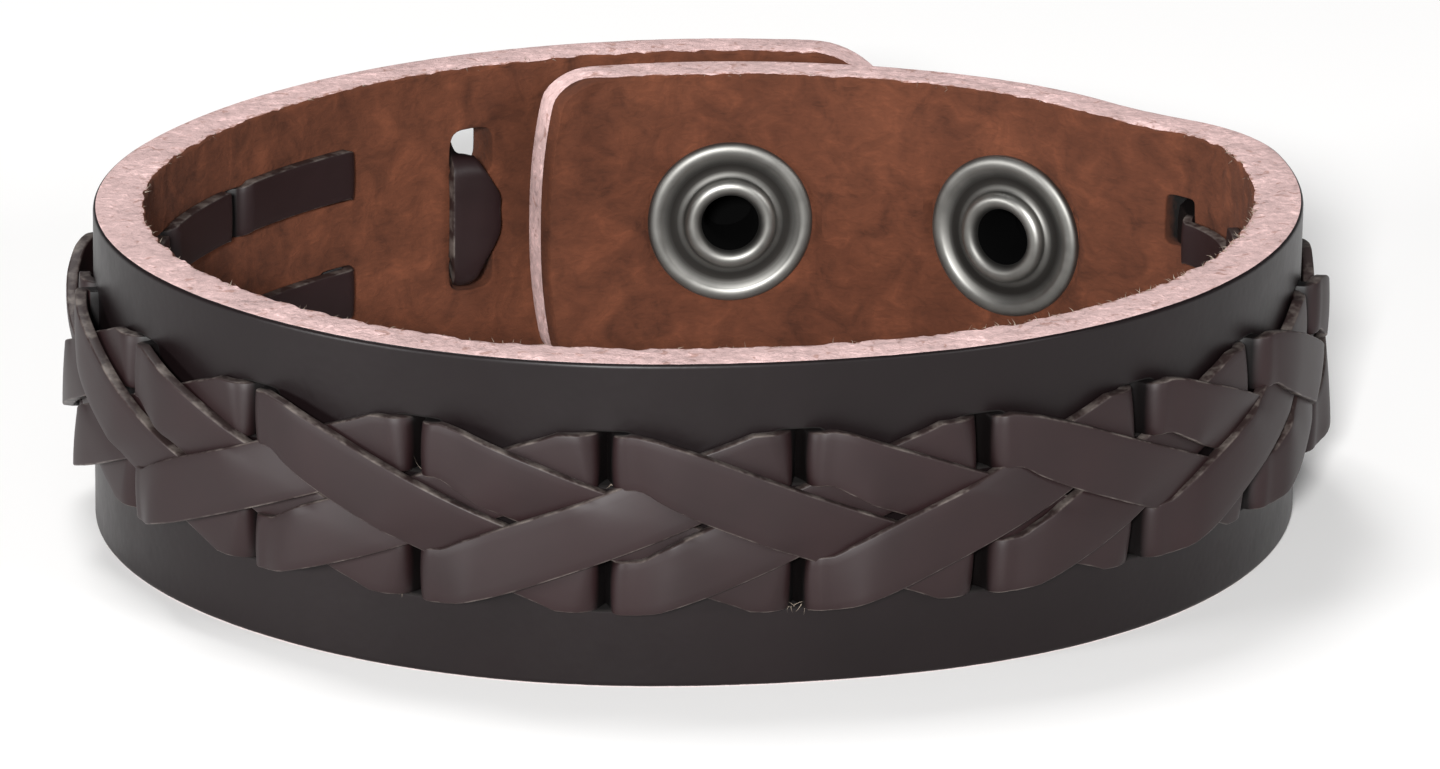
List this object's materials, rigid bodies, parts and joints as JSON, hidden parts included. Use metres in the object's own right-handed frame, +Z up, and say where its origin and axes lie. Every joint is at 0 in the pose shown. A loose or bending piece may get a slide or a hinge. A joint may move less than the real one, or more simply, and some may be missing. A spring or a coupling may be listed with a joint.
{
  "type": "braided leather bracelet",
  "caption": "Strap bracelet of thick leather with a flat lace braided through slots round its outside, closed to a loop by an overlapping snap with a spare position.",
  "frame": {"origin": "centre of the bounding box at the lower edge of the strap, on the surface that the bracelet stands on", "axes": "+Z up along the width of the strap, -Y towards the braided front, +Y towards the snap at the back"},
  "size_m": [0.0746, 0.0702, 0.019],
  "materials": {
    "strap_leather": "smooth dark grain outside, brown flesh inside, pale raw edges",
    "lace_leather": "smooth satin dark brown",
    "snap_metal": "antique nickel, softly polished"
  },
  "bodies": {
    "root": {"strap": "strap_leather", "lace": "lace_leather", "snap_cap": "snap_metal", "snap_socket": "snap_metal", "stud_fastened": "snap_metal", "stud_spare": "snap_metal", "eyelet_fastened": "snap_metal", "eyelet_spare": "snap_metal"}
  },
  "joints": []
}
